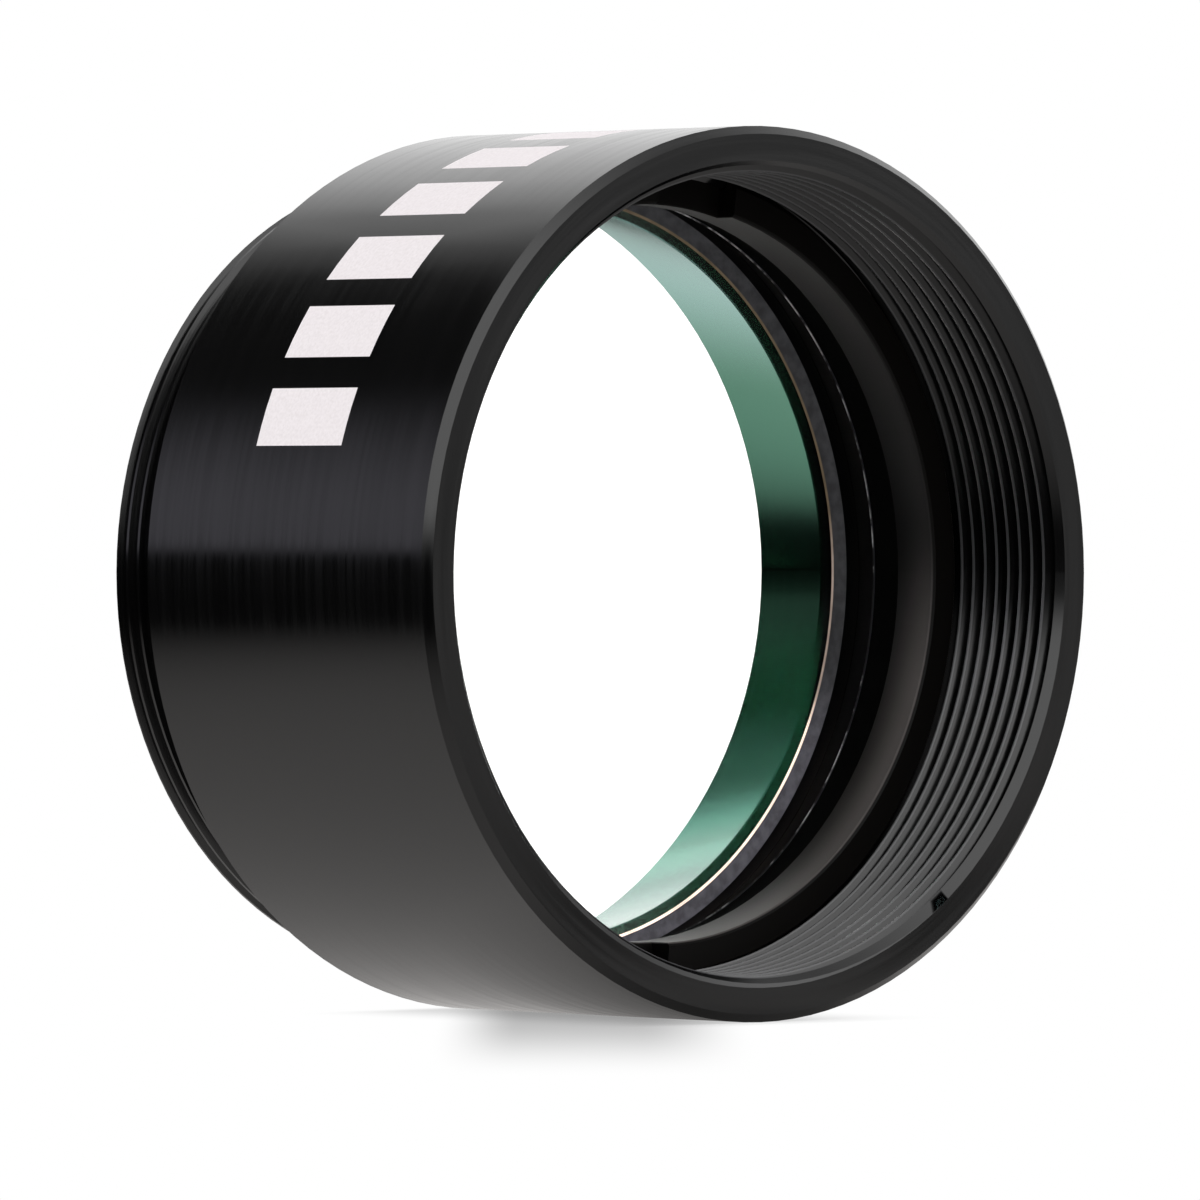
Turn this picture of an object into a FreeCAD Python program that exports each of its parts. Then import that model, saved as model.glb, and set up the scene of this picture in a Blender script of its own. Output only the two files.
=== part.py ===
"""Screw-in lens cell of a 1.25-inch barlow lens.

The optical axis is the Y axis. The open front mouth faces -Y, the male thread points to +Y and +Z is up.
The origin is on the axis, in the plane of the rear shoulder. All sizes are millimetres.
"""
import FreeCAD, Part
import math
import os
from FreeCAD import Vector

# Barrel
BARREL_RADIUS = 15.5
BARREL_LENGTH = 15.0
BARREL_EDGE_CHAMFER = 0.28
SHOULDER_EDGE_CHAMFER = 0.2

# Threads: the standard 1.25-inch filter thread, M28.5 x 0.6
THREAD_PITCH = 0.6
THREAD_FLANK_SLOPE = math.tan(math.radians(30))
CUTTER_OVERSHOOT = 0.1
CUTTER_FLANK_EXTENSION = 0.03
CUTTER_LEAD_IN = 1.5 * THREAD_PITCH

# Female thread in the front mouth, parted by a relief from the stretch that holds the retaining ring
MOUTH_RADIUS = 14.3
FEMALE_CREST_RADIUS = 13.93
FEMALE_ROOT_RADIUS = 14.3
FEMALE_ROOT_FLAT = 0.12
FEMALE_THREAD_PHASE = 0.15
FEMALE_THREAD_END = 5.1
RING_THREAD_END = 7.3
RELIEF_RADIUS = 14.4
RELIEF_WIDTH = 0.6

# Male thread behind the shoulder
MALE_CREST_RADIUS = 14.2
MALE_ROOT_RADIUS = 13.95
MALE_ROOT_FLAT = 0.2
MALE_THREAD_LENGTH = 3.4
MALE_TIP_CHAMFER = 0.3
SHOULDER_GROOVE_RADIUS = 13.9
SHOULDER_GROOVE_WIDTH = 0.25
SHOULDER_GROOVE_SLOPE = 0.17
SHOULDER_RECESS_RADIUS = 14.35
SHOULDER_RECESS_DEPTH = 0.08

# Lens bore and seat
LENS_BORE_RADIUS = 13.87
SEAT_DEPTH = 12.95
SEAT_INNER_RADIUS = 13.18
REAR_BORE_RADIUS = 12.8
REAR_BORE_CHAMFER = 0.65

# Lens: a cemented pair held on its ground rim. A surface of negative radius has its centre ahead of it
LENS_RADIUS = 13.8
LENS_BEVEL = 0.12
LENS_FRONT_DEPTH = 8.9
FRONT_CLEAR_RADIUS = 13.35
FRONT_SURFACE_RADIUS = 330.0
CEMENT_DEPTH = 11.45
CEMENT_THICKNESS = 0.05
CEMENT_SURFACE_RADIUS = 55.0
REAR_CLEAR_RADIUS = 13.12
REAR_SURFACE_RADIUS = -60.0

# Retaining ring and the spacer behind it
RING_FRONT_DEPTH = 5.3
RING_THICKNESS = 1.85
RING_INNER_RADIUS = 12.9
RING_CREST_RADIUS = 14.17
RING_ROOT_RADIUS = 13.87
RING_ROOT_FLAT = 0.17
RING_THREAD_CHAMFER = 0.25
RING_INNER_CHAMFER = 0.12
SLOT_WIDTH = 3.6
SLOT_DEPTH = 0.9
SLOT_TILT = 6.8
SPACER_OUTER_RADIUS = 13.83
SPACER_INNER_RADIUS = 13.35
SPACER_EDGE_BREAK = 0.06

# Row of plain white bars engraved on the barrel's left side
MARK_DEPTH = 0.03
MARK_BARS = 6
MARK_FIRST_ANGLE = 20.5
MARK_LAST_ANGLE = 81.5
MARK_BAR_ANGLE = 7.8
MARK_FRONT = 5.2
MARK_REAR = 9.7

OPTICAL_AXIS = Vector(0, 1, 0)
ORIGIN = Vector(0, 0, 0)
RING_REAR_DEPTH = RING_FRONT_DEPTH + RING_THICKNESS
TOTAL_LENGTH = BARREL_LENGTH + MALE_THREAD_LENGTH


def station(depth):
    """Y of a point that lies this far behind the front face."""
    return depth - BARREL_LENGTH


def turned(outline, start=0, sweep=360):
    """Solid of revolution about the optical axis from (radius, depth) corners."""
    corners = [Vector(radius, station(depth), 0) for radius, depth in outline]
    face = Part.Face(Part.makePolygon(corners + corners[:1]))
    face.rotate(ORIGIN, OPTICAL_AXIS, start)
    return face.revolve(ORIGIN, OPTICAL_AXIS, sweep)


def thread_cutter(wall_radius, root_radius, root_flat, start, end):
    """Helical cutter for a right-hand 60 degree thread, from one depth to another."""
    outward = 1 if wall_radius > root_radius else -1
    kink_radius = wall_radius + outward * CUTTER_FLANK_EXTENSION
    back_radius = wall_radius + outward * CUTTER_OVERSHOOT
    half_root = root_flat / 2
    half_back = half_root + abs(kink_radius - root_radius) * THREAD_FLANK_SLOPE
    half_section = [(root_radius, half_root), (kink_radius, half_back), (back_radius, half_back)]
    section = [Vector(radius, 0, half) for radius, half in half_section]
    section += [Vector(radius, 0, -half) for radius, half in reversed(half_section)]
    profile = Part.makePolygon(section + section[:1])
    helix = Part.makeLongHelix(THREAD_PITCH, end - start, wall_radius, 0, False)
    cutter = Part.Wire(helix.Edges).makePipeShell([profile], True, True)
    cutter.rotate(ORIGIN, Vector(1, 0, 0), -90)
    cutter.translate(Vector(0, station(start), 0))
    return cutter


def female_thread_start():
    """Depth at which the female groove's centre line starts, ahead of the front face."""
    return FEMALE_THREAD_PHASE - CUTTER_LEAD_IN


def mark_bars(outer_radius):
    """Row of equal bars around the barrel, from the engraved floor to a given radius."""
    floor = BARREL_RADIUS - MARK_DEPTH
    outline = [(floor, MARK_FRONT), (outer_radius, MARK_FRONT), (outer_radius, MARK_REAR), (floor, MARK_REAR)]
    step = (MARK_LAST_ANGLE - MARK_FIRST_ANGLE) / (MARK_BARS - 1)
    bars = []
    for index in range(MARK_BARS):
        start = 180 + MARK_FIRST_ANGLE + index * step - MARK_BAR_ANGLE / 2
        bars.append(turned(outline, start, MARK_BAR_ANGLE))
    return bars


def make_cell_body():
    """Barrel with the front female thread, the lens bore and its seat, and the rear male thread."""
    mouth_depth = MOUTH_RADIUS - FEMALE_CREST_RADIUS
    recess_floor = BARREL_LENGTH - SHOULDER_RECESS_DEPTH
    groove_end = BARREL_LENGTH + SHOULDER_GROOVE_WIDTH
    seat_bevel = SEAT_INNER_RADIUS - REAR_BORE_RADIUS
    blank = turned([
        (MOUTH_RADIUS, 0),
        (BARREL_RADIUS - BARREL_EDGE_CHAMFER, 0),
        (BARREL_RADIUS, BARREL_EDGE_CHAMFER),
        (BARREL_RADIUS, BARREL_LENGTH - SHOULDER_EDGE_CHAMFER),
        (BARREL_RADIUS - SHOULDER_EDGE_CHAMFER, BARREL_LENGTH),
        (SHOULDER_RECESS_RADIUS, BARREL_LENGTH),
        (SHOULDER_RECESS_RADIUS, recess_floor),
        (SHOULDER_GROOVE_RADIUS, recess_floor),
        (SHOULDER_GROOVE_RADIUS, groove_end),
        (MALE_CREST_RADIUS, groove_end + SHOULDER_GROOVE_SLOPE),
        (MALE_CREST_RADIUS, TOTAL_LENGTH - MALE_TIP_CHAMFER),
        (MALE_CREST_RADIUS - MALE_TIP_CHAMFER, TOTAL_LENGTH),
        (REAR_BORE_RADIUS + REAR_BORE_CHAMFER, TOTAL_LENGTH),
        (REAR_BORE_RADIUS, TOTAL_LENGTH - REAR_BORE_CHAMFER),
        (REAR_BORE_RADIUS, SEAT_DEPTH + seat_bevel),
        (SEAT_INNER_RADIUS, SEAT_DEPTH),
        (LENS_BORE_RADIUS, SEAT_DEPTH),
        (LENS_BORE_RADIUS, RING_THREAD_END + RELIEF_WIDTH),
        (RELIEF_RADIUS, RING_THREAD_END + RELIEF_WIDTH),
        (RELIEF_RADIUS, RING_THREAD_END),
        (FEMALE_CREST_RADIUS, RING_THREAD_END),
        (FEMALE_CREST_RADIUS, FEMALE_THREAD_END + RELIEF_WIDTH),
        (RELIEF_RADIUS, FEMALE_THREAD_END + RELIEF_WIDTH),
        (RELIEF_RADIUS, FEMALE_THREAD_END),
        (FEMALE_CREST_RADIUS, FEMALE_THREAD_END),
        (FEMALE_CREST_RADIUS, mouth_depth),
    ])
    female = thread_cutter(FEMALE_CREST_RADIUS, FEMALE_ROOT_RADIUS, FEMALE_ROOT_FLAT,
                           female_thread_start(), RING_THREAD_END + RELIEF_WIDTH / 2)
    male = thread_cutter(MALE_CREST_RADIUS, MALE_ROOT_RADIUS, MALE_ROOT_FLAT,
                         BARREL_LENGTH + SHOULDER_GROOVE_WIDTH / 2, TOTAL_LENGTH + THREAD_PITCH)
    body = blank.cut(female)
    body = body.cut(male)
    return body.cut(Part.makeCompound(mark_bars(BARREL_RADIUS + CUTTER_OVERSHOOT))).Solids[0]


def make_retaining_ring():
    """Ring that screws in on the front thread, with two slots for a spanner."""
    ring = turned([
        (RING_INNER_RADIUS + RING_INNER_CHAMFER, RING_FRONT_DEPTH),
        (RING_CREST_RADIUS - RING_THREAD_CHAMFER, RING_FRONT_DEPTH),
        (RING_CREST_RADIUS, RING_FRONT_DEPTH + RING_THREAD_CHAMFER),
        (RING_CREST_RADIUS, RING_REAR_DEPTH - RING_THREAD_CHAMFER),
        (RING_CREST_RADIUS - RING_THREAD_CHAMFER, RING_REAR_DEPTH),
        (RING_INNER_RADIUS, RING_REAR_DEPTH),
        (RING_INNER_RADIUS, RING_FRONT_DEPTH + RING_INNER_CHAMFER),
    ])
    turns_ahead = math.floor(RING_FRONT_DEPTH / THREAD_PITCH) - 1
    start = female_thread_start() + (turns_ahead + 0.5) * THREAD_PITCH
    cutter = thread_cutter(RING_CREST_RADIUS, RING_ROOT_RADIUS, RING_ROOT_FLAT,
                           start, RING_REAR_DEPTH + CUTTER_LEAD_IN)
    slot_length = 2 * RING_CREST_RADIUS
    slot = Part.makeBox(SLOT_WIDTH, SLOT_DEPTH + CUTTER_OVERSHOOT, 2 * slot_length)
    slot.translate(Vector(-SLOT_WIDTH / 2, station(RING_FRONT_DEPTH) - CUTTER_OVERSHOOT, -slot_length))
    slot.rotate(ORIGIN, OPTICAL_AXIS, SLOT_TILT)
    return ring.cut(cutter).cut(slot).Solids[0]


def make_spacer_ring():
    """Thin tube between the retaining ring and the rim of the glass."""
    return turned([
        (SPACER_INNER_RADIUS + SPACER_EDGE_BREAK, RING_REAR_DEPTH),
        (SPACER_OUTER_RADIUS, RING_REAR_DEPTH),
        (SPACER_OUTER_RADIUS, LENS_FRONT_DEPTH),
        (SPACER_INNER_RADIUS + SPACER_EDGE_BREAK, LENS_FRONT_DEPTH),
        (SPACER_INNER_RADIUS, LENS_FRONT_DEPTH - SPACER_EDGE_BREAK),
        (SPACER_INNER_RADIUS, RING_REAR_DEPTH + SPACER_EDGE_BREAK),
    ])


def sag(curvature_radius, radius):
    """How far a spherical surface lies behind its middle at a distance from the axis."""
    depth = abs(curvature_radius) - math.sqrt(curvature_radius ** 2 - radius ** 2)
    return math.copysign(depth, curvature_radius)


def surface_arc(rim_depth, curvature_radius, rim_radius):
    """Arc from the axis to the rim along a spherical surface that meets its rim at a given depth."""
    middle_depth = rim_depth - sag(curvature_radius, rim_radius)
    points = []
    for radius in (0, rim_radius / 2, rim_radius):
        points.append(Vector(radius, station(middle_depth + sag(curvature_radius, radius)), 0))
    return Part.Arc(*points).toShape()


def turned_glass(front_arc, rim, rear_arc):
    """Solid between two surface arcs, closed by the (radius, depth) corners of its rim."""
    front_end = front_arc.Vertexes[-1].Point
    rear_end = rear_arc.Vertexes[-1].Point
    corners = [front_end] + [Vector(radius, station(depth), 0) for radius, depth in rim] + [rear_end]
    rim_edges = Part.makePolygon(corners).Edges
    axis_edge = Part.makeLine(front_arc.Vertexes[0].Point, rear_arc.Vertexes[0].Point)
    wire = Part.Wire(Part.__sortEdges__([front_arc, rear_arc, axis_edge] + rim_edges))
    return Part.Face(wire).revolve(ORIGIN, OPTICAL_AXIS, 360)


def make_front_element():
    """Flint glass, almost flat in front and hollow behind, with a narrow ground rim."""
    rim = [
        (LENS_RADIUS - LENS_BEVEL, LENS_FRONT_DEPTH),
        (LENS_RADIUS, LENS_FRONT_DEPTH + LENS_BEVEL),
    ]
    front_arc = surface_arc(LENS_FRONT_DEPTH, FRONT_SURFACE_RADIUS, FRONT_CLEAR_RADIUS)
    rear_arc = surface_arc(CEMENT_DEPTH, CEMENT_SURFACE_RADIUS, LENS_RADIUS)
    return turned_glass(front_arc, rim, rear_arc)


def make_cement_layer():
    """Clear cement that joins the two glasses."""
    front_arc = surface_arc(CEMENT_DEPTH, CEMENT_SURFACE_RADIUS, LENS_RADIUS)
    rear_arc = surface_arc(CEMENT_DEPTH + CEMENT_THICKNESS, CEMENT_SURFACE_RADIUS, LENS_RADIUS)
    return turned_glass(front_arc, [], rear_arc)


def make_rear_element():
    """Crown glass, full on both faces, whose ground rim lies on the seat."""
    rim = [
        (LENS_RADIUS, SEAT_DEPTH - LENS_BEVEL),
        (LENS_RADIUS - LENS_BEVEL, SEAT_DEPTH),
    ]
    front_arc = surface_arc(CEMENT_DEPTH + CEMENT_THICKNESS, CEMENT_SURFACE_RADIUS, LENS_RADIUS)
    rear_arc = surface_arc(SEAT_DEPTH, REAR_SURFACE_RADIUS, REAR_CLEAR_RADIUS)
    return turned_glass(front_arc, rim, rear_arc)


def make_barrel_mark():
    """White fill of the engraved bars, flush with the barrel."""
    return Part.makeCompound(mark_bars(BARREL_RADIUS))


NODES = {
    "cell_body": make_cell_body,
    "retaining_ring": make_retaining_ring,
    "spacer_ring": make_spacer_ring,
    "front_element": make_front_element,
    "cement_layer": make_cement_layer,
    "rear_element": make_rear_element,
    "barrel_mark": make_barrel_mark,
}

os.makedirs("parts", exist_ok=True)
for name, make in NODES.items():
    shape = make()
    shape.exportStep("parts/" + name + ".step")
    print(name, "valid", shape.isValid(), "solids", len(shape.Solids), "volume", round(shape.Volume, 3))
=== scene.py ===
"""Looks of the screw-in barlow lens cell: anodised metal, coated glass, a pale floor and soft studio light.

All places are in metres in the frame of the CAD part: the optical axis is Y and the open mouth faces -Y.
"""
import bpy
import math
from mathutils import Matrix, Vector


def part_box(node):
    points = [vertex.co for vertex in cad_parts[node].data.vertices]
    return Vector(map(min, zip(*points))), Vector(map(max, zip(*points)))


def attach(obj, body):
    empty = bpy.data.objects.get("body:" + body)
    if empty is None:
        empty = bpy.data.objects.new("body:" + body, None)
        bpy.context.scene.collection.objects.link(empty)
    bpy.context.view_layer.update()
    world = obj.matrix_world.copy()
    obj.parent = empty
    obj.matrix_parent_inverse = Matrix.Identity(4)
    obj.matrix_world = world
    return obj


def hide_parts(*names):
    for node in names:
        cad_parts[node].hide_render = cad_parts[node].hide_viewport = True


MM = 0.001

# Camera
CAMERA_AZIMUTH = math.radians(-41.58)
CAMERA_ELEVATION = math.radians(0.5)
CAMERA_DISTANCE = 409.0 * MM
CAMERA_ASIDE = -5.75 * MM
CAMERA_BELOW = -0.89 * MM
SENSOR_WIDTH = 36.0
FOCAL_LENGTH = 355.0

# Lens surfaces, as in the CAD part. A surface of negative radius has its centre ahead of it
FRONT_SURFACE_RADIUS = 330.0 * MM
CEMENT_SURFACE_RADIUS = 55.0 * MM
REAR_SURFACE_RADIUS = -60.0 * MM
FRONT_CLEAR_RADIUS = 13.35 * MM
REAR_CLEAR_RADIUS = 13.12 * MM
LENS_BEVEL = 0.12 * MM
SEAT_GAP = 0.01 * MM
FRONT_GLINT_WIDTH = 0.05 * MM
REAR_GLINT_WIDTH = 0.1 * MM
GLINT_GLOW = 1.6
LENS_SIDES = 256
SURFACE_RINGS = 16

# Turning marks, in lines per millimetre and drift round the axis
FINE_MARKS = (9.0, 1.6)
BROAD_MARKS = (3.0, 1.2)
ANODISED_BUMP = 0.0009 * MM
RING_BUMP = 0.002 * MM

# The tones below paint light and shade that change with height: the highest one, and then, for each lower
# one, the height where it begins, the height where it is full, and the tone itself

# Smooth inner wall of the retaining ring, with painted light low down and painted shade towards the lens
RING_WALL = 12.92 * MM
RING_WALL_REAR = -7.85 * MM
RING_WALL_FRONT = -9.5 * MM
RING_BLACK = (0.003, 0.0026, 0.0023, 1.0)
RING_WALL_PAINTED_LIGHT_TONES = ((0.015, 0.0145, 0.014, 1.0), (2.0 * MM, -4.5 * MM, (0.1, 0.09, 0.086, 1.0)))

# Crests of the female thread, lightened with a painted highlight, most of all low down
ANODISED_BLACK = (0.0008, 0.0008, 0.0009, 1.0)
CREST_EDGE = 13.96 * MM
CREST_FADE = 0.04 * MM
CREST_END = -9.6 * MM
CREST_PAINTED_HIGHLIGHT_TONES = ((0.024, 0.024, 0.025, 1.0), (4.0 * MM, -4.0 * MM, (0.07, 0.07, 0.073, 1.0)))

# Bore behind the lens, with a painted green reflection that changes with height, and the lens's coat
BORE_START = -1.75 * MM
BORE_OUTSIDE = 13.0 * MM
BORE_FADE = 0.05 * MM
BORE_PAINTED_REFLECTION_TONES = (
    (0.6, 1.0, 0.95, 1.0),
    (11.5 * MM, 6.0 * MM, (0.134, 0.363, 0.254, 1.0)),
    (2.8 * MM, -0.2 * MM, (0.004, 0.045, 0.018, 1.0)),
    (-4.4 * MM, -6.8 * MM, (0.38, 1.0, 0.78, 1.0)),
    (-8.2 * MM, -9.4 * MM, (0.316, 0.64, 0.52, 1.0)),
    (-9.5 * MM, -10.8 * MM, (0.12, 0.245, 0.21, 1.0)))
COAT_GREEN = (0.04, 0.3, 0.15, 1.0)
GLASS_INDEX = 1.56
CEMENT_CLEAR = (0.997, 1.0, 0.995, 1.0)

# Border of the glass on its seat, which glows with painted light, and the painted warm glint beside it
SEATED_PAINTED_LIGHT_TONES = ((0.024, 0.024, 0.026, 1.0), (-3.0 * MM, -6.5 * MM, (0.06, 0.058, 0.068, 1.0)))
GLINT_TONES = (
    (0.06, 0.045, 0.028, 1.0),
    (2.5 * MM, 0.0, (0.2, 0.156, 0.13, 1.0)),
    (-4.0 * MM, -6.4 * MM, (0.98, 0.78, 0.66, 1.0)))

# Studio
FLOOR_RADIUS = 2000.0 * MM
FLOOR_SIDES = 64
NEAR_GLOW = 0.68
FAR_GLOW = 0.6
MOUTH_SHADE = 0.25
CONTACT_SHADOW = 0.35
CAST_SHADOW = 0.5
DIMMEST = 0.006
FLOOR_TINT = (1.03, 1.0, 0.98)
CARD_TINT = (0.97, 0.95, 1.08)
NEUTRAL = (1.0, 1.0, 1.0)
WHITE = (1.0, 1.0, 1.0, 1.0)
DOME = (1.06, 1.06, 1.06, 1.0)
THROUGH_GLASS = (1.3, 1.3, 1.3, 1.0)
# Direction of the painted cast shadow on the floor, and across it
SHADOW_DIRECTION = (-0.664, -0.748, 0.0)
SHADOW_ACROSS = (0.748, -0.664, 0.0)


# ---------------------------------------------------------------- node helpers

def add(tree, kind, inputs=None, **settings):
    """Adds a shader node. An input is a plain value or another node's output socket."""
    node = tree.nodes.new("ShaderNode" + kind)
    for name, value in settings.items():
        setattr(node, name, value)
    for name, value in (inputs or {}).items():
        if isinstance(value, bpy.types.NodeSocket):
            tree.links.new(value, node.inputs[name])
        else:
            node.inputs[name].default_value = value
    return node


def maths(tree, operation, *values):
    """Output of one Math node."""
    return add(tree, "Math", dict(enumerate(values)), operation=operation).outputs[0]


def ramp(tree, value, start, end, low=0.0, high=1.0):
    """A smooth step from low to high as the value goes from start to end."""
    node = add(tree, "MapRange", {"Value": value, "From Min": start, "From Max": end,
                                  "To Min": low, "To Max": high}, interpolation_type="SMOOTHSTEP")
    return node.outputs["Result"]


def product(tree, *values):
    """Product of several values."""
    result = values[0]
    for value in values[1:]:
        result = maths(tree, "MULTIPLY", result, value)
    return result


def total(tree, *values):
    """Sum of several values."""
    result = values[0]
    for value in values[1:]:
        result = maths(tree, "ADD", result, value)
    return result


def tint(tree, strength, colour):
    """Colour, plain or from a node, scaled by a value."""
    return add(tree, "VectorMath", {0: colour, "Scale": strength}, operation="SCALE").outputs[0]


def vector_sum(tree, *vectors):
    """Sum of several vectors."""
    result = vectors[0]
    for vector in vectors[1:]:
        result = add(tree, "VectorMath", {0: result, 1: vector}, operation="ADD").outputs[0]
    return result


def reach(tree, position, direction):
    """How far a place lies along a direction."""
    return add(tree, "VectorMath", {0: position, 1: direction}, operation="DOT_PRODUCT").outputs["Value"]


def mix_colour(tree, factor, first, second):
    """Mix of two colours."""
    node = add(tree, "Mix", data_type="RGBA")
    for index, value in ((0, factor), (6, first), (7, second)):
        if isinstance(value, bpy.types.NodeSocket):
            tree.links.new(value, node.inputs[index])
        else:
            node.inputs[index].default_value = value
    return node.outputs[2]


def object_noise(tree, scale, detail, roughness=0.5):
    """Noise that is fixed to the piece."""
    position = add(tree, "TexCoord").outputs["Object"]
    inputs = {"Vector": position, "Scale": scale, "Detail": detail, "Roughness": roughness}
    return add(tree, "TexNoise", inputs).outputs["Fac"]


def painted_tone_by_height(tree, highest, *lower_tones):
    """Painted light and shade: colour that changes with height above the axis, as the tones at the top of the
    script say.
    """
    position = add(tree, "TexCoord").outputs["Object"]
    height = add(tree, "SeparateXYZ", {"Vector": position}).outputs["Z"]
    colour = highest
    for begin, full, tone in lower_tones:
        colour = mix_colour(tree, ramp(tree, height, begin, full), colour, tone)
    return colour


def new_material(name):
    """Empty node material and its tree."""
    material = bpy.data.materials.new(name)
    material.use_nodes = True
    material.node_tree.nodes.clear()
    return material, material.node_tree


def finish_material(tree, shader):
    """Connects a shader to the material's output."""
    output = add(tree, "OutputMaterial")
    tree.links.new(shader, output.inputs["Surface"])


# ---------------------------------------------------------------- studio

def reflected_studio(tree):
    """Light of the studio as the object's gloss sees it, by direction."""
    direction = add(tree, "TexCoord").outputs["Generated"]
    axes = add(tree, "SeparateXYZ", {"Vector": direction})
    x, y, z = axes.outputs["X"], axes.outputs["Y"], axes.outputs["Z"]
    # a large softbox behind on the right, from the horizon to high above
    softbox = product(tree, ramp(tree, x, -0.17, 0.45, 0, 1.43), ramp(tree, z, 0.1, 0.5, 0.78, 1.0),
                      ramp(tree, z, -0.02, 0.06), ramp(tree, y, -0.5, 0.4))
    # a low card behind on the left, which fades upwards
    bearing = maths(tree, "DIVIDE", x, maths(tree, "MAXIMUM", y, 0.05))
    card = product(tree, ramp(tree, bearing, -0.52, -0.66, 0, 0.7), ramp(tree, z, 0.045, 0.085),
                   ramp(tree, z, 0.18, 0.6, 1, 0), ramp(tree, y, 0.0, 0.3))
    # a strong broad light in front, above the horizon
    front = product(tree, ramp(tree, y, -0.1, -0.5, 0, 2.2), ramp(tree, z, 0.04, 0.22))
    # a weak low one in front on the right
    low = product(tree, ramp(tree, y, -0.3, -0.6, 0, 0.42), ramp(tree, x, 0.1, 0.5), ramp(tree, z, 0.3, 0.1))
    glow = vector_sum(tree, tint(tree, softbox, NEUTRAL), tint(tree, card, CARD_TINT),
                      tint(tree, front, NEUTRAL), tint(tree, low, NEUTRAL))
    ambient = ramp(tree, z, 0.0, 0.5, DIMMEST, 0.04)
    return vector_sum(tree, glow, tint(tree, ambient, NEUTRAL))


def make_world():
    """White behind the object, an even dome for soft shadows, and cards and softboxes in its gloss."""
    world = bpy.data.worlds.new("studio")
    bpy.context.scene.world = world
    world.use_nodes = True
    world.cycles.sampling_method = "NONE"
    tree = world.node_tree
    tree.nodes.clear()
    path = add(tree, "LightPath")
    reflected = mix_colour(tree, maths(tree, "GREATER_THAN", path.outputs["Diffuse Depth"], 0.5),
                           reflected_studio(tree), DOME)
    bounces = maths(tree, "ADD", path.outputs["Diffuse Depth"], path.outputs["Glossy Depth"])
    through_glass = maths(tree, "GREATER_THAN", path.outputs["Transmission Depth"], 0.5)
    backdrop = mix_colour(tree, through_glass, WHITE, THROUGH_GLASS)
    colour = mix_colour(tree, maths(tree, "GREATER_THAN", bounces, 0.5), backdrop, reflected)
    background = add(tree, "Background", {"Color": colour})
    output = add(tree, "OutputWorld")
    tree.links.new(background.outputs[0], output.inputs["Surface"])


def floor_glow(tree, position, height, mouth_y):
    """Floor as the object's gloss sees it: bright near the object, with painted shade below the mouth, and
    far off in front on the right.
    """
    distance = add(tree, "VectorMath", {0: position}, operation="LENGTH").outputs["Value"]
    below_mouth = (0, mouth_y, height)
    from_mouth = add(tree, "VectorMath", {0: position, 1: below_mouth}, operation="DISTANCE").outputs["Value"]
    # painted shade: in the gloss, the floor's glow is dimmer below the mouth
    near = product(tree, ramp(tree, distance, 20 * MM, 105 * MM, NEAR_GLOW, 0.0),
                   ramp(tree, from_mouth, 2 * MM, 14 * MM, MOUTH_SHADE, 1.0))
    axes = add(tree, "SeparateXYZ", {"Vector": position})
    far = product(tree, ramp(tree, axes.outputs["Y"], -50 * MM, -200 * MM),
                  ramp(tree, axes.outputs["X"], 0, 100 * MM, 0, FAR_GLOW),
                  ramp(tree, distance, 1500 * MM, 400 * MM))
    return total(tree, near, far, DIMMEST)


def floor_shadows(tree, position, mouth_y):
    """Painted cast shadow, to the left and forward, and contact shadow, where the barrel lies on the floor.
    """
    forward = reach(tree, position, SHADOW_DIRECTION)
    across = reach(tree, position, SHADOW_ACROSS)
    # painted cast shadow: a soft band from the barrel to the left and forward
    cast = product(tree, ramp(tree, forward, 50 * MM, 8 * MM, 0, CAST_SHADOW),
                   ramp(tree, forward, -3 * MM, 2 * MM),
                   ramp(tree, across, -1.5 * MM, 1.5 * MM), ramp(tree, across, 9.5 * MM, 5.5 * MM))
    axes = add(tree, "SeparateXYZ", {"Vector": position})
    aside = maths(tree, "ABSOLUTE", axes.outputs["X"])
    along = axes.outputs["Y"]
    contact = product(tree, ramp(tree, aside, 8 * MM, 1 * MM, 0, CONTACT_SHADOW),
                      ramp(tree, along, mouth_y - 2 * MM, mouth_y), ramp(tree, along, 2 * MM, 0))
    return cast, contact


def make_floor(height, mouth_y):
    """A round white floor that glows evenly, with two soft shadows: a painted cast shadow and a contact
    shadow.
    """
    mesh = bpy.data.meshes.new("floor")
    angles = [2 * math.pi * side / FLOOR_SIDES for side in range(FLOOR_SIDES)]
    edge = [(FLOOR_RADIUS * math.cos(angle), FLOOR_RADIUS * math.sin(angle), height) for angle in angles]
    mesh.from_pydata(edge, [], [list(range(FLOOR_SIDES))])
    floor = bpy.data.objects.new("floor", mesh)
    bpy.context.scene.collection.objects.link(floor)
    material, tree = new_material("floor_white_painted_shadow")
    position = add(tree, "TexCoord").outputs["Object"]
    cast, contact = floor_shadows(tree, position, mouth_y)
    path = add(tree, "LightPath")
    through_glass = maths(tree, "GREATER_THAN", path.outputs["Transmission Depth"], 0.5)
    white = mix_colour(tree, through_glass, WHITE, THROUGH_GLASS)
    # the painted cast shadow darkens the white glow
    direct = tint(tree, maths(tree, "SUBTRACT", 1.0, cast), white)
    reflected = tint(tree, floor_glow(tree, position, height, mouth_y), FLOOR_TINT)
    in_gloss = maths(tree, "GREATER_THAN", path.outputs["Glossy Depth"], 0.5)
    glow = add(tree, "Emission", {"Color": mix_colour(tree, in_gloss, direct, reflected)})
    diffuse = add(tree, "BsdfDiffuse", {"Color": WHITE})
    mix = add(tree, "MixShader", {"Fac": product(tree, maths(tree, "SUBTRACT", 1.0, in_gloss), contact)})
    tree.links.new(glow.outputs[0], mix.inputs[1])
    tree.links.new(diffuse.outputs[0], mix.inputs[2])
    finish_material(tree, mix.outputs[0])
    mesh.materials.append(material)


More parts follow.
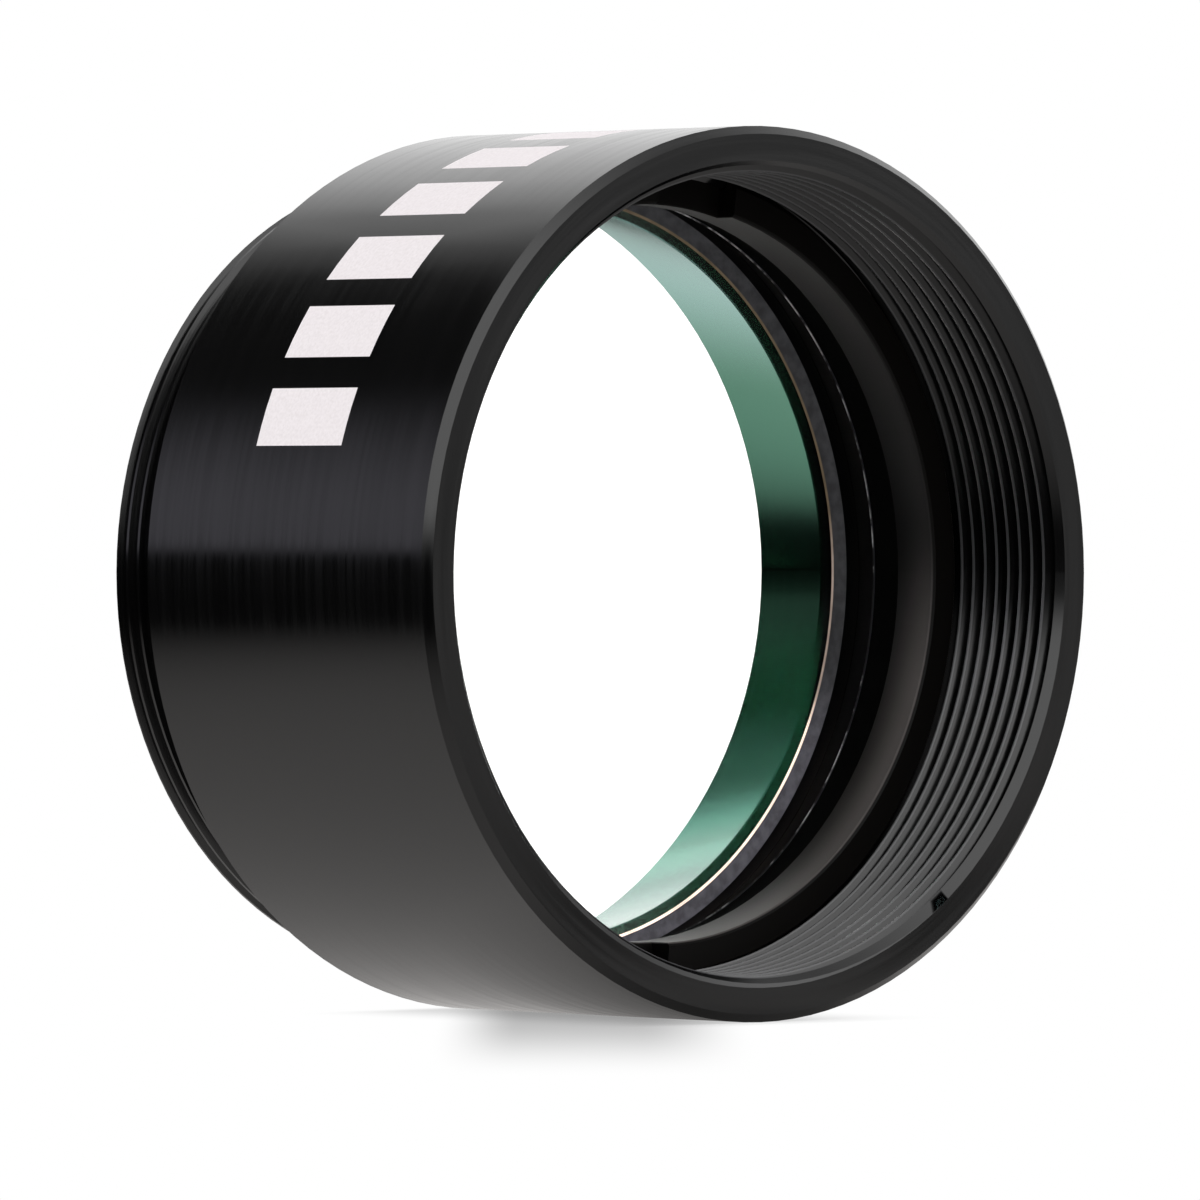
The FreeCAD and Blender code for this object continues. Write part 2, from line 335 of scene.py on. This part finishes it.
def make_camera(target):
    """Camera in front of the mouth, a little to its left and almost level with the axis."""
    back = Vector((math.sin(CAMERA_AZIMUTH) * math.cos(CAMERA_ELEVATION),
                   -math.cos(CAMERA_AZIMUTH) * math.cos(CAMERA_ELEVATION),
                   math.sin(CAMERA_ELEVATION)))
    right = Vector((math.cos(CAMERA_AZIMUTH), math.sin(CAMERA_AZIMUTH), 0))
    up = back.cross(right)
    data = bpy.data.cameras.new("camera")
    data.sensor_width = SENSOR_WIDTH
    data.lens = FOCAL_LENGTH
    data.clip_start = 0.01
    data.clip_end = 10
    camera = bpy.data.objects.new("camera", data)
    bpy.context.scene.collection.objects.link(camera)
    turn = Matrix((right, up, back)).transposed().to_4x4()
    place = target + CAMERA_ASIDE * right + CAMERA_BELOW * up + CAMERA_DISTANCE * back
    camera.matrix_world = Matrix.Translation(place) @ turn
    bpy.context.scene.camera = camera


# ---------------------------------------------------------------- materials

def axis_coordinates(tree):
    """Place round the optical axis: radius, distance along the axis, and the unit vector outwards."""
    position = add(tree, "TexCoord").outputs["Object"]
    axes = add(tree, "SeparateXYZ", {"Vector": position})
    x, y, z = axes.outputs["X"], axes.outputs["Y"], axes.outputs["Z"]
    radius = maths(tree, "SQRT", total(tree, product(tree, x, x), product(tree, z, z)))
    return radius, y, maths(tree, "DIVIDE", x, radius), maths(tree, "DIVIDE", z, radius)


def turning_marks(tree, lines_per_mm, drift):
    """Noise drawn out round the axis, as a lathe tool leaves it."""
    radius, along, outward_x, outward_z = axis_coordinates(tree)
    across = product(tree, total(tree, along, radius), lines_per_mm / MM)
    vector = add(tree, "CombineXYZ", {"X": product(tree, outward_x, drift), "Y": across,
                                      "Z": product(tree, outward_z, drift)}).outputs[0]
    noise = add(tree, "TexNoise", {"Vector": vector, "Scale": 1.0, "Detail": 3.0, "Roughness": 0.6})
    return noise.outputs["Fac"]


def anodised_metal():
    """Black anodised aluminium, turned to a fine gloss, with a painted highlight on the thread crests.
    The bore behind the lens mirrors green through a painted reflection in its colour, changing with height.
    """
    material, tree = new_material("black_anodised_turned_painted_light")
    marks = turning_marks(tree, *FINE_MARKS)
    bump = add(tree, "Bump", {"Height": marks, "Distance": ANODISED_BUMP, "Strength": 1.0})
    dull_streaks = ramp(tree, turning_marks(tree, *BROAD_MARKS), 0.35, 0.65, 0.12, 0.19)
    radius, along, _, _ = axis_coordinates(tree)
    # painted highlight: the thread crests are paler, most of all low down
    crest_painted_highlight = product(tree, ramp(tree, radius, CREST_EDGE + CREST_FADE, CREST_EDGE),
                     ramp(tree, along, CREST_END + CREST_FADE, CREST_END))
    shade = mix_colour(tree, crest_painted_highlight, ANODISED_BLACK, painted_tone_by_height(tree, *CREST_PAINTED_HIGHLIGHT_TONES))
    tangent = add(tree, "Tangent", direction_type="RADIAL", axis="Y")
    outside = add(tree, "BsdfPrincipled", {
        "Base Color": shade, "Metallic": 0.0, "Roughness": dull_streaks, "IOR": 1.5,
        "Anisotropic": 0.5, "Anisotropic Rotation": 0.25, "Tangent": tangent.outputs[0],
        "Normal": bump.outputs[0]})
    # painted reflection: the bore's metal colour holds the coat's green and changes with height
    bore = add(tree, "BsdfPrincipled", {
        "Base Color": painted_tone_by_height(tree, *BORE_PAINTED_REFLECTION_TONES), "Metallic": 1.0, "Roughness": 0.16,
        "Normal": bump.outputs[0]})
    bore_painted_reflection_mask = product(tree, ramp(tree, along, BORE_START, BORE_START + BORE_FADE),
                          ramp(tree, radius, BORE_OUTSIDE + BORE_FADE, BORE_OUTSIDE))
    mix = add(tree, "MixShader", {"Fac": bore_painted_reflection_mask})
    tree.links.new(outside.outputs[0], mix.inputs[1])
    tree.links.new(bore.outputs[0], mix.inputs[2])
    finish_material(tree, mix.outputs[0])
    return material


def ring_metal():
    """Dull black anodised aluminium. The inner wall is paler with painted light, most of all low down,
    and painted shade darkens it towards the lens.
    """
    material, tree = new_material("black_ring_satin_painted_wall_light")
    marks = turning_marks(tree, *FINE_MARKS)
    bump = add(tree, "Bump", {"Height": marks, "Distance": RING_BUMP, "Strength": 1.0})
    radius, along, _, _ = axis_coordinates(tree)
    inside = ramp(tree, radius, RING_WALL + CREST_FADE, RING_WALL)
    # painted shade darkens the inner wall towards the lens, and painted light makes it paler low down
    painted_shade_towards_lens = ramp(tree, along, RING_WALL_REAR, RING_WALL_FRONT, 0.2, 1.0)
    wall = tint(tree, painted_shade_towards_lens, painted_tone_by_height(tree, *RING_WALL_PAINTED_LIGHT_TONES))
    shader = add(tree, "BsdfPrincipled", {
        "Base Color": mix_colour(tree, inside, RING_BLACK, wall), "Metallic": 0.0,
        "Roughness": 0.42, "IOR": 1.18, "Normal": bump.outputs[0]})
    finish_material(tree, shader.outputs[0])
    return material


def spacer_black():
    """Dead black finish of the spacer."""
    material, tree = new_material("dead_black")
    colour = mix_colour(tree, object_noise(tree, 3000.0, 3.0),
                        (0.0006, 0.0006, 0.0006, 1), (0.002, 0.002, 0.002, 1))
    shader = add(tree, "BsdfPrincipled", {"Base Color": colour, "Roughness": 0.7, "IOR": 1.1})
    finish_material(tree, shader.outputs[0])
    return material


def coated_glass():
    """Polished glass under a coat that mirrors green."""
    material, tree = new_material("coated_glass_green")
    shader = add(tree, "BsdfPrincipled", {
        "Base Color": WHITE, "Metallic": 0.0, "Roughness": 0.0, "IOR": GLASS_INDEX,
        "Transmission Weight": 1.0, "Specular Tint": COAT_GREEN})
    finish_material(tree, shader.outputs[0])
    return material


def cemented_face():
    """Where glass meets cement nothing bends or mirrors light, and only a trace of colour is left."""
    material, tree = new_material("cemented_face_clear")
    shader = add(tree, "BsdfTransparent", {"Color": CEMENT_CLEAR})
    finish_material(tree, shader.outputs[0])
    return material


def ground_glass(name, dark, light, scale, index=1.4, grain=(0.0, 1.0)):
    """Ground glass with a fine grain between two shades. A narrow range of grain makes distinct chips."""
    material, tree = new_material(name)
    colour = mix_colour(tree, ramp(tree, object_noise(tree, scale, 4.0, 0.7), *grain), dark, light)
    shader = add(tree, "BsdfPrincipled", {"Base Color": colour, "Roughness": 0.5, "IOR": index})
    finish_material(tree, shader.outputs[0])
    return material


def seated_glass():
    """Ground border that rests on the seat. It glows grey with painted light, lighter low down,
    in place of the light that gets into the glass.
    """
    material, tree = new_material("ground_glass_on_seat_painted_glow")
    grain = ramp(tree, object_noise(tree, 2500.0, 3.0), 0.3, 0.7, 0.7, 1.2)
    colour = tint(tree, grain, painted_tone_by_height(tree, *SEATED_PAINTED_LIGHT_TONES))
    # painted light: the border glows in its own colour
    shader = add(tree, "BsdfPrincipled", {"Base Color": colour, "Roughness": 0.5, "IOR": 1.4,
                                          "Emission Color": colour, "Emission Strength": 1.0})
    finish_material(tree, shader.outputs[0])
    return material


def warm_glint():
    """Narrow edge round the rear of the glass with a painted warm glint: it glows, most of all low down."""
    material, tree = new_material("glass_edge_painted_warm_glint")
    grain = ramp(tree, object_noise(tree, 1500.0, 2.0), 0.3, 0.6, 0.75, 1.0)
    colour = tint(tree, grain, painted_tone_by_height(tree, *GLINT_TONES))
    # painted glint: the edge glows in its own warm colour
    shader = add(tree, "BsdfPrincipled", {"Base Color": colour, "Roughness": 0.4, "IOR": 1.4,
                                          "Emission Color": colour, "Emission Strength": GLINT_GLOW})
    finish_material(tree, shader.outputs[0])
    return material


def mark_fill():
    """White paint in the engraved bars."""
    material, tree = new_material("white_fill_matt")
    colour = mix_colour(tree, object_noise(tree, 9000.0, 4.0), (0.72, 0.67, 0.68, 1), (0.95, 0.9, 0.92, 1))
    shader = add(tree, "BsdfPrincipled", {"Base Color": colour, "Roughness": 0.7, "IOR": 1.4})
    finish_material(tree, shader.outputs[0])
    return material


# ---------------------------------------------------------------- lens

def sag(curvature_radius, radius):
    """How far a spherical surface lies behind its middle at a distance from the axis."""
    depth = abs(curvature_radius) - math.sqrt(curvature_radius ** 2 - radius ** 2)
    return math.copysign(depth, curvature_radius)


def surface(rim_y, curvature_radius, rim_radius, end_radius=None):
    """(radius, y) points along a spherical surface from the axis out to its rim, or to a given radius."""
    end_radius = end_radius or rim_radius
    middle_y = rim_y - sag(curvature_radius, rim_radius)
    radii = [end_radius * ring / SURFACE_RINGS for ring in range(SURFACE_RINGS + 1)]
    return [(radius, middle_y + sag(curvature_radius, radius)) for radius in radii]


def ring_of_vertices(radius, y):
    """Vertices round the axis, or one on it."""
    if radius == 0:
        return [(0, y, 0)]
    angles = [2 * math.pi * side / LENS_SIDES for side in range(LENS_SIDES)]
    return [(radius * math.cos(angle), y, radius * math.sin(angle)) for angle in angles]


def band_of_faces(near, far):
    """Faces between two rings of vertex numbers, either of which may be a single point."""
    faces = []
    for side in range(LENS_SIDES):
        following = (side + 1) % LENS_SIDES
        if len(near) == 1:
            faces.append((near[0], far[side], far[following]))
        elif len(far) == 1:
            faces.append((near[side], far[0], near[following]))
        else:
            faces.append((near[side], far[side], far[following], near[following]))
    return faces


def turned_piece(name, stretches):
    """Closed piece turned about the axis from stretches of (radius, y) points, each with its own material.

    Each stretch starts where the one before it ends, and the edge between two stretches is sharp.
    """
    outline, slots_along = [stretches[0][0][0]], []
    for slot, (points, _) in enumerate(stretches):
        outline += points[1:]
        slots_along += [slot] * (len(points) - 1)
    vertices, rings = [], []
    for radius, y in outline:
        ring = ring_of_vertices(radius, y)
        rings.append(list(range(len(vertices), len(vertices) + len(ring))))
        vertices += ring
    faces, slots = [], []
    for index, slot in enumerate(slots_along):
        band = band_of_faces(rings[index], rings[index + 1])
        faces += band
        slots += [slot] * len(band)
    mesh = bpy.data.meshes.new(name)
    mesh.from_pydata(vertices, [], faces)
    for _, material in stretches:
        mesh.materials.append(material)
    mesh.polygons.foreach_set("material_index", slots)
    mesh.shade_smooth()
    neighbours = {}
    for polygon in mesh.polygons:
        for key in polygon.edge_keys:
            neighbours.setdefault(key, set()).add(polygon.material_index)
    for edge in mesh.edges:
        edge.use_edge_sharp = len(neighbours[edge.key]) > 1
    piece = bpy.data.objects.new(name, mesh)
    bpy.context.scene.collection.objects.link(piece)
    return piece


def place_lens_piece(piece, node):
    """The piece stands for its CAD node and stays with the cell."""
    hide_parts(node)
    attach(piece, "cell")


def make_lens():
    """The cemented pair, finely turned, with polished, ground and blackened faces."""
    coat, clear, warm = coated_glass(), cemented_face(), warm_glint()
    pale = ground_glass("glass_edge_pale", (0.02, 0.02, 0.02, 1), (0.75, 0.75, 0.75, 1), 500.0,
                        grain=(0.46, 0.6))
    rim = ground_glass("ground_glass_rim", (0.02, 0.021, 0.026, 1), (0.045, 0.047, 0.055, 1), 2500.0)
    black = ground_glass("blackened_glass_edge", (0.001, 0.001, 0.001, 1), (0.004, 0.004, 0.004, 1),
                         1800.0, index=1.1)
    front_low, front_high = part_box("front_element")
    rear_low, rear_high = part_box("rear_element")
    edge = front_high.x
    bevel = edge - LENS_BEVEL
    front_rim = front_low.y + sag(FRONT_SURFACE_RADIUS, FRONT_CLEAR_RADIUS)
    cement_front = front_high.y
    cement_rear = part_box("cement_layer")[1].y
    seat = rear_high.y + sag(REAR_SURFACE_RADIUS, REAR_CLEAR_RADIUS)
    glint = FRONT_CLEAR_RADIUS - FRONT_GLINT_WIDTH
    front_face = surface(front_rim, FRONT_SURFACE_RADIUS, FRONT_CLEAR_RADIUS, glint)
    front_glass = turned_piece("front_glass", [
        (front_face, coat),
        ([front_face[-1], (FRONT_CLEAR_RADIUS, front_rim)], pale),
        ([(FRONT_CLEAR_RADIUS, front_rim), (bevel, front_rim), (edge, front_rim + LENS_BEVEL)], rim),
        ([(edge, front_rim + LENS_BEVEL), (edge, cement_front)], black),
        (surface(cement_front, CEMENT_SURFACE_RADIUS, edge)[::-1], clear),
    ])
    place_lens_piece(front_glass, "front_element")
    cement_film = turned_piece("cement_film", [
        (surface(cement_front, CEMENT_SURFACE_RADIUS, edge), clear),
        ([(edge, cement_front), (edge, cement_rear)], clear),
        (surface(cement_rear, CEMENT_SURFACE_RADIUS, edge)[::-1], clear),
    ])
    place_lens_piece(cement_film, "cement_layer")
    glint = REAR_CLEAR_RADIUS + REAR_GLINT_WIDTH
    rear_glass = turned_piece("rear_glass", [
        (surface(cement_rear, CEMENT_SURFACE_RADIUS, edge), clear),
        ([(edge, cement_rear), (edge, seat - LENS_BEVEL)], black),
        ([(edge, seat - LENS_BEVEL), (bevel, seat - SEAT_GAP), (glint, seat - SEAT_GAP)], seated_glass()),
        ([(glint, seat - SEAT_GAP), (REAR_CLEAR_RADIUS, seat)], warm),
        (surface(seat, REAR_SURFACE_RADIUS, REAR_CLEAR_RADIUS)[::-1], coat),
    ])
    place_lens_piece(rear_glass, "rear_element")


def dress(node, material):
    """Gives a CAD node one material on all its faces."""
    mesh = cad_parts[node].data
    mesh.materials.clear()
    mesh.materials.append(material)


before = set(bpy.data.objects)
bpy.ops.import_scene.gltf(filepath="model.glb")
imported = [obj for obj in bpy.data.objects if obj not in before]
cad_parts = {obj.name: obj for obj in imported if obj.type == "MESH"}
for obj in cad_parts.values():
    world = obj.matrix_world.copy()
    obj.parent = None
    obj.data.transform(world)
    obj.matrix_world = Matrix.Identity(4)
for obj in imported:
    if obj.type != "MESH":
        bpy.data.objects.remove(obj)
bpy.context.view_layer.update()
bpy.context.scene.view_settings.view_transform = "Standard"
barrel_low, barrel_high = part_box("cell_body")
make_world()
make_floor(barrel_low.z, barrel_low.y)
make_camera(Vector((0, barrel_low.y, 0)))

dress("cell_body", anodised_metal())
dress("retaining_ring", ring_metal())
dress("spacer_ring", spacer_black())
dress("barrel_mark", mark_fill())
make_lens()
